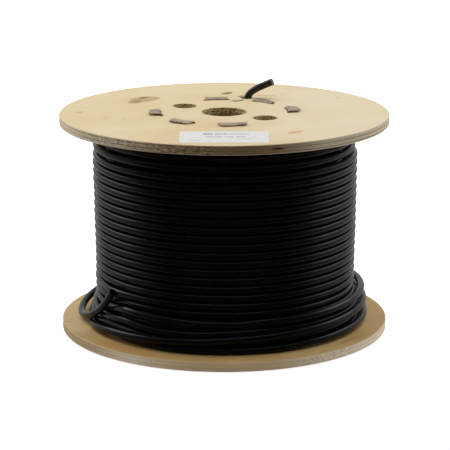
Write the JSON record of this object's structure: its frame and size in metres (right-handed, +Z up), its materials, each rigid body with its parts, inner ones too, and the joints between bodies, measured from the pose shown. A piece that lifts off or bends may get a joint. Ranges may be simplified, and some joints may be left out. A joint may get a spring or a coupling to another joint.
{
  "type": "wooden cable drum",
  "caption": "Plywood cable drum standing on its end, with round flanges locked on a rolled steel barrel by bent tabs, wound with black cable.",
  "frame": {"origin": "on the floor, on the drum's axis", "axes": "+Z up along the drum's axis, -Y towards the front with the label, +X to the right of the front"},
  "size_m": [0.32, 0.32, 0.2345],
  "materials": {
    "plywood": "sanded, unfinished",
    "galvanised_steel": "dull galvanised",
    "cable_jacket": "extruded, satin",
    "label_paper": "matt, coated"
  },
  "bodies": {
    "root": {"top_flange": "plywood", "bottom_flange": "plywood", "barrel": "galvanised_steel", "cable_winding": "cable_jacket", "cable_inner_end": "cable_jacket", "cable_outer_end": "cable_jacket", "paper_label": "label_paper"}
  },
  "joints": []
}
